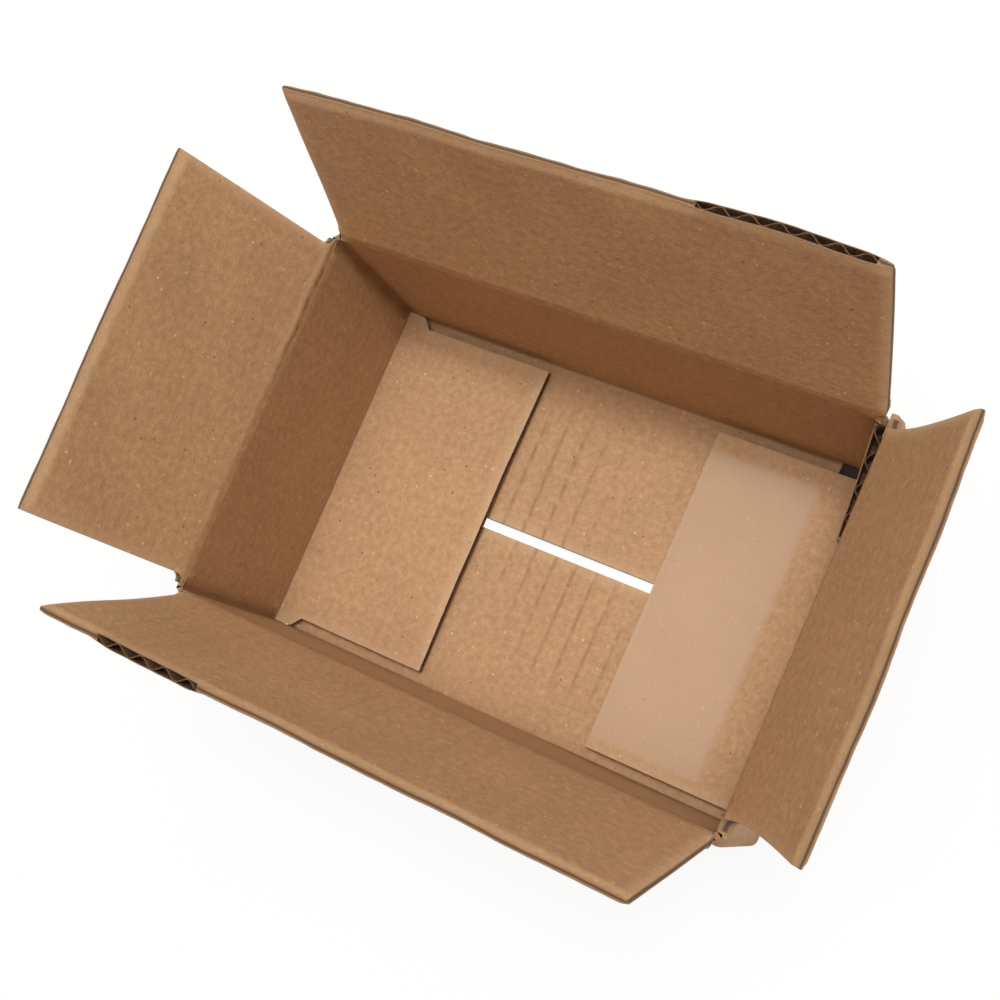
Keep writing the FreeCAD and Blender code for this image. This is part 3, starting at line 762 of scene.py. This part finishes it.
# The top flaps. lean is outward from upright, and bow how far the middle bends out. corners are how
# far the two free corners stand off the flat flap, outward and along the crease, first at the low
# end of u and then at the high end. waist is how far the side edges are drawn in, and flare how
# much wider the flap is at its crease. open is the stretch of u where the flutes of the free edge
# are not pressed shut. line says how dark the crease is: at its weakest and strongest, the u
# between them and how gently it changes.
topFlaps = {
    "front": {"wall": "front", "lean": 16.5, "bow": 0.5, "corners": ((-2.4, -1.2), (-0.5, 0.5)),
              "waist": (0, 0), "flare": (0, 4.0), "open": (-56, -28), "line": (0.05, 0.05, 0, 25), "body": "front_lid", "seed": 21},
    "back": {"wall": "back", "lean": 18.0, "bow": 0.8, "corners": ((-1.5, -0.3), (-1.5, 0.1)),
             "waist": (0, 0), "flare": (3.0, 0.8), "open": (-70, -30), "line": (0.1, 0.1, 0, 25), "body": "back_lid", "seed": 22},
    "left": {"wall": "left", "lean": 21.5, "bow": 0.6, "corners": ((-1.5, 0.6), (-2.8, -0.6)),
             "waist": (0, 0), "flare": (0.8, 0), "open": None, "line": (0.15, 0.85, -12, 25), "body": "left_lid", "seed": 23},
    "right": {"wall": "right", "lean": 24.5, "bow": 0.4, "corners": ((0.9, -0.2), (-0.2, -0.8)),
              "waist": (1.4, 1.3), "flare": (0, 2.2), "open": None, "line": (0.15, 0.15, 0, 25), "body": "right_lid", "seed": 24},
}
creaseShape = {
    "groove": 0.1,       # how deep the crease is pressed into the inner face
    "grooveHalf": 1.1,   # half its width
    "dip": 0.15,         # how much the outer face gives way
    "turnHalf": 1.3,     # half the stretch over which the board turns
    "fillet": 2.4,       # rounding where a flap meets the slot
}


def addTopFlap(name, values):
    wall = walls[values["wall"]]
    longSide = values["wall"] in ("front", "back")
    level, seam = (longTop, longSeam) if longSide else (shortTop, shortSeam)
    half, thickness = wall["half"], board["thickness"]
    lean = math.radians(values["lean"])
    hinge = wall["face"] - hingeDepth
    seed = values["seed"]

    # distance inward from the outer face at a place of the crease
    def faceDepth(u, v, depth):
        wander = 0.2 * ripple(u, 0 * u, seed + 40, 13)
        soft = 1 + 0.25 * ripple(u, 0 * u, seed + 50, 21)
        near = np.clip(1 - np.abs(v - wander) / creaseShape["grooveHalf"], 0, 1)
        inner = thickness - creaseShape["groove"] * soft * smooth(near) ** 0.8
        outer = creaseShape["dip"] * smooth(near)
        share = depth / thickness
        share = share + (0.7 - share) * squeezed(u, v, flapLength, values["open"], seed)
        return outer + (inner - outer) * share

    # place of the hinge line's layer at v, and the direction that the board has there
    runIn = 4.0      # how far below the hinge the path begins
    vs = np.linspace(-runIn, flapLength + 4.2, 1201)
    turn = lean * smooth((vs + creaseShape["turnHalf"]) / (2 * creaseShape["turnHalf"]))
    outward = np.concatenate([[0], np.cumsum(np.sin((turn[1:] + turn[:-1]) / 2) * np.diff(vs))])
    upward = np.concatenate([[0], np.cumsum(np.cos((turn[1:] + turn[:-1]) / 2) * np.diff(vs))])
    upward = upward - runIn
    # the folded path is laid over the two straight lines that meet at the hinge
    endOut = flapLength * math.sin(lean) - np.interp(flapLength, vs, outward)
    endUp = flapLength * math.cos(lean) - np.interp(flapLength, vs, upward)

    def pointAt(u, v, depth):
        u, v, depth = np.broadcast_arrays(*(np.asarray(a, float) for a in (u, v, depth)))
        angle = np.interp(v, vs, turn)
        onFlap = smooth((v + 1.3) / 2.6)
        share = np.clip(v / flapLength, 0, 1)
        side = (u / half + 1) / 2
        (outA, alongA), (outB, alongB) = values["corners"]
        stand = (outA * (1 - side) + outB * side) * share ** 1.3
        slide = (alongA * (1 - side) + alongB * side) * share ** 1.3
        across = np.clip(1 - (u / half) ** 2, 0, 1)
        bend = values["bow"] * across * share ** 1.5 + 0.35 * share * ripple(u, v, seed, 60)
        bend = bend + 0.25 * values["bow"] * np.sin(share * math.pi)
        off = hingeDepth - faceDepth(u, v, depth) + stand + bend
        off = off + wall["print"] * flutePrint(u)
        shift = wallShift(values["wall"], u, level + np.minimum(v, 0)) - wall["print"] * flutePrint(u)
        out = hinge + np.interp(v, vs, outward) + endOut * onFlap + np.cos(angle) * off + shift * (1 - onFlap)
        z = level + np.interp(v, vs, upward) + endUp * onFlap - np.sin(angle) * off
        place = u + slide
        x = out * wall["out"][0] + place * wall["along"][0]
        y = out * wall["out"][1] + place * wall["along"][1]
        return np.stack([x, y, z], -1)

    # rows are close together at the crease and at the free edge
    crossing = np.concatenate([np.linspace(-seam, -1.5, 5)[:-1], np.linspace(-1.5, 1.5, 11)[:-1],
                               np.linspace(1.5, 4, 6)[:-1]])
    v1 = np.concatenate([crossing, np.linspace(4, flapLength - 4, 22)[:-1],
                         np.linspace(flapLength - 4, flapLength, 9)])
    us = columnsOf(half)
    v = v1[:, None] + 0 * us
    u = us + 0 * v
    # side edges: rounded into the slot at the crease, and drawn in at the waist
    radius = creaseShape["fillet"]
    fromSlot = v + seam if longSide else v
    rise = np.clip(fromSlot, 0, radius)
    rounding = radius - np.sqrt(radius ** 2 - (radius - rise) ** 2)
    widen = np.where((fromSlot >= 0) & (fromSlot < radius), rounding, 0)
    if not longSide:
        widen = np.where(v < 0, 0, widen)
    near = smooth((np.abs(u) / half - 0.9) / 0.1)
    waist = np.where(u < 0, values["waist"][0], values["waist"][1])
    flare = np.where(u < 0, values["flare"][0], values["flare"][1]) * smooth(v + 1) * (1 - v / flapLength)
    drawIn = waist * np.sin(np.clip(v / 48, 0, 1) ** 0.7 * math.pi) - flare
    placeU = u + np.sign(u) * near * widen - np.sign(u) * drawIn * np.abs(u / half) ** 3
    blank = np.stack([wall["blank"] + u, level + v, 0 * v], -1)
    edge = np.minimum(flapLength - v, half - np.abs(u) + 0.4)
    shell = newShell()
    pinch = 0.35 * smooth((np.abs(u) - half + 1.4) / 1.4) * smooth((v - 2) / 2)
    weak, strong, turning, softness = values["line"]
    grows = smooth((turning - u) / softness + 0.5)
    uneven = 0.7 + 0.3 * ripple(u, v, seed + 30, 7)
    wander = 0.2 * ripple(u, 0 * u, seed + 40, 13)
    line = (weak + (strong - weak) * grows) * uneven * np.exp(-((v - wander) / 0.45) ** 2)
    beside = np.exp(-((np.abs(v - wander) - 1.5) / 0.9) ** 2)
    marks = marksOf(np.clip(line, 0, 1), -0.35 * (weak + (strong - weak) * grows) * beside)
    opened = values["open"]
    surfaces = [pointAt(placeU, v, thickness * share) for share in (pinch / 2, 1 - pinch / 2)]
    addBoard(shell, *surfaces, blank, marks, edge, pocket=9 if opened else 0,
             margins=shutColumns(us, opened) if opened else (2, 2))
    if opened:
        before, after = shutColumns(us, opened)
        addMedium(shell, pointAt, us[before], us[-1 - after], flapLength, 3.9, wall["blank"], level)
    piece = makePiece(name, shell)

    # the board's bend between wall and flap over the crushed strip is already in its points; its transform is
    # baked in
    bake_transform(piece)
    return piece


for side, values in topFlaps.items():
    piece = addTopFlap(side + "TopFlapBoard", values)
    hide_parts("top_flap_" + side)
print("top flaps made")

# The long bottom flaps, lowest of all, which meet at the open seam. span is where they begin and
# end along the wall: the back one is cut short beside the glue tab. fold says how dark the painted
# shadow line in the fold's inside corner is at the low and at the high end of u.
bottomFlaps = {
    "front": {"reach": 1.5, "print": 0.11, "span": (-72.7, 72.7),
              "fold": (0.3, 0.95), "body": "front_bottom", "seed": 31},
    "back": {"reach": 1.5, "print": 0.11, "span": (-61.3, 72.7),
             "fold": (0.5, 0.5), "body": "back_bottom", "seed": 32},
}


def addBottomFlap(name, side, values):
    wall = walls[side]
    thickness = board["thickness"]
    low, high = values["span"]
    far = wall["face"] - values["reach"]
    along = np.concatenate([np.linspace(0, 0.86, 18), np.linspace(0.88, 1, 9)])
    outerLine = foldLine(lowSeam, 0.0, board["outsideRadius"], 0.0, far, 3, 7, along)
    innerLine = foldLine(lowSeam, thickness, board["insideRadius"], thickness, far, 3, 7, along)
    pathLength = np.concatenate([[0], np.cumsum(np.hypot(*np.diff(outerLine, axis=0).T))])
    reach = pathLength[-1]

    def pointAt(u, v, depth):
        u, v = np.broadcast_arrays(np.asarray(u, float), v)
        ends = [np.stack([np.interp(v, pathLength, line[:, k]) for k in (0, 1)], -1)
                for line in (outerLine, innerLine)]
        share = depth / thickness
        share = share + (0.5 - share) * squeezed(u, v, reach, None, values["seed"], 0.3)
        at = ends[0] * (1 - share)[..., None] + ends[1] * share[..., None]
        flat = smooth((v - 8) / 12)
        out = wall["face"] - at[..., 0] + wallShift(side, u, at[..., 1]) * (1 - smooth((v - 1) / 4))
        valley = (0.5 - 0.5 * flutePrint(u)) ** 5 * (0.6 + 0.4 * ripple(u, v, values["seed"], 9))
        printed = -values["print"] * valley * flat * share
        x = out * wall["out"][0] + u * wall["along"][0]
        y = out * wall["out"][1] + u * wall["along"][1]
        return np.stack([x, y, at[..., 1] + printed], -1)

    us = spread(low, high, board["column"] / 2)
    v = pathLength[:, None] + 0 * us
    u = us + 0 * v
    blank = np.stack([wall["blank"] + u, lowSeam - v, 0 * v], -1)
    edge = np.minimum(reach - v, np.minimum(u - low, high - u))
    # painted shade: dark lines in the flute valleys, and a painted shadow line and soft painted shade at the
    # fold
    valley = (0.5 - 0.5 * flutePrint(u)) ** 14
    broken = np.clip(0.3 + 1.1 * ripple(u, v * 0.8, values["seed"] + 7, 7), 0, 1)
    fold = values["fold"][0] + (values["fold"][1] - values["fold"][0]) * smooth((u - 5) / 20)
    fold = fold * np.exp(-((v - 4.5) / 1.1) ** 2)
    line = np.clip(fold + 0.5 * valley * broken * smooth((v - 14) / 14), 0, 1)
    marks = marksOf(line, 0.15 * np.exp(-((v - 4.5) / 4.0) ** 2))
    shell = newShell()
    addBoard(shell, pointAt(u, v, 0 * v), pointAt(u, v, 0 * v + thickness), blank, marks, edge,
             pocket=7, flip=True)
    addMedium(shell, pointAt, us[2], us[-3], reach, 4.5, wall["blank"], lowSeam - reach, flip=True)
    piece = makePiece(name, shell)
    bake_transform(piece)
    return piece


for side, values in bottomFlaps.items():
    piece = addBottomFlap(side + "BottomFlapBoard", side, values)
    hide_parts("bottom_flap_" + side)
print("bottom flaps made")

# Studio: a white floor that keeps the carton's shadow, a large soft light and a small one overhead,
# weak lights from the right and the back, and a pale warm sky.
studio = {
    "floorHalf": 3.0,
    "floorWhite": 0.9,      # share of the floor that the camera sees as plain white
    "paintedShadowCorner": {"X": (60, 77), "Y": (46.5, 53.5)},   # painted shadow on the floor under the hole beside the glue tab
    "paintedShadowColour": "#4a423c",
    "floorColour": "#f4f4f4",
    "sky": 0.3,
    "skyColour": "#ffe3c8",
    "lamps": {
        "overhead": {"place": (0.1, 0.1, 1.6), "size": 1.3, "power": 18.4},
        "key": {"place": (0.26, 0.3, 1.6), "size": 0.3, "power": 7.8},
        "right": {"place": (1.5, -0.1, 0.9), "size": 0.9, "power": 1.6},
        "back": {"place": (0.1, 1.5, 0.9), "size": 0.9, "power": 2.0},
    },
}


def addFloor(values):
    half = values["floorHalf"]
    mesh = bpy.data.meshes.new("studioFloor")
    corners = [(-half, -half, 0), (half, -half, 0), (half, half, 0), (-half, half, 0)]
    mesh.from_pydata(corners, [], [(0, 1, 2, 3)])
    material, tree = newMaterial("paintedStudioFloor")
    diffuse = addNode(tree, "ShaderNodeBsdfDiffuse", sockets={"Color": linear(values["floorColour"])})
    white = addNode(tree, "ShaderNodeEmission", sockets={"Color": (1, 1, 1, 1), "Strength": 1.0})
    path = addNode(tree, "ShaderNodeLightPath")
    seen = addNode(tree, "ShaderNodeMath", {0: (path, "Is Camera Ray")}, {1: values["floorWhite"]},
                   operation="MULTIPLY")
    place = addNode(tree, "ShaderNodeTexCoord")
    parts = addNode(tree, "ShaderNodeSeparateXYZ", {0: (place, "Object")})
    # painted shadow: a dark patch of floor in the corner under the hole
    dark = addNode(tree, "ShaderNodeBsdfDiffuse", sockets={"Color": linear(values["paintedShadowColour"])})
    inPaintedShadow = []
    for axis, (low, high) in values["paintedShadowCorner"].items():
        inPaintedShadow.append(addNode(tree, "ShaderNodeMath", {0: (parts, axis)}, operation="COMPARE", sockets={
            1: (low + high) / 2 * metre, 2: (high - low) / 2 * metre}))
    corner = addNode(tree, "ShaderNodeMath", {0: (inPaintedShadow[0], 0), 1: (inPaintedShadow[1], 0)}, operation="MULTIPLY")
    mix = addNode(tree, "ShaderNodeMixShader", {0: (seen, 0), 1: (diffuse, 0), 2: (white, 0)})
    mix = addNode(tree, "ShaderNodeMixShader", {0: (corner, 0), 1: (mix, 0), 2: (dark, 0)})
    addNode(tree, "ShaderNodeOutputMaterial", {0: (mix, 0)})
    mesh.materials.append(material)
    floor = bpy.data.objects.new("studioFloor", mesh)
    bpy.context.scene.collection.objects.link(floor)


def addSky(values):
    world = bpy.data.worlds.new("studioSky")
    world.use_nodes = True
    tree = world.node_tree
    tree.nodes.clear()
    soft = addNode(tree, "ShaderNodeBackground",
                   sockets={"Color": linear(values["skyColour"]), "Strength": values["sky"]})
    white = addNode(tree, "ShaderNodeBackground", sockets={"Color": (1, 1, 1, 1), "Strength": 1.0})
    path = addNode(tree, "ShaderNodeLightPath")
    mix = addNode(tree, "ShaderNodeMixShader", {0: (path, "Is Camera Ray"), 1: (soft, 0), 2: (white, 0)})
    addNode(tree, "ShaderNodeOutputWorld", {0: (mix, 0)})
    bpy.context.scene.world = world


def addLamp(name, values):
    data = bpy.data.lights.new(name, "AREA")
    data.shape = "SQUARE"
    data.size = values["size"]
    data.energy = values["power"]
    item = bpy.data.objects.new(name, data)
    place = Vector(values["place"])
    aim = Vector((0, 0, 0.05)) - place
    item.matrix_world = Matrix.Translation(place) @ aim.to_track_quat("-Z", "Y").to_matrix().to_4x4()
    bpy.context.scene.collection.objects.link(item)


addFloor(studio)
addSky(studio)
for name, values in studio["lamps"].items():
    addLamp(name + "Lamp", values)
bpy.context.scene.view_settings.view_transform = "Standard"
print("studio made")
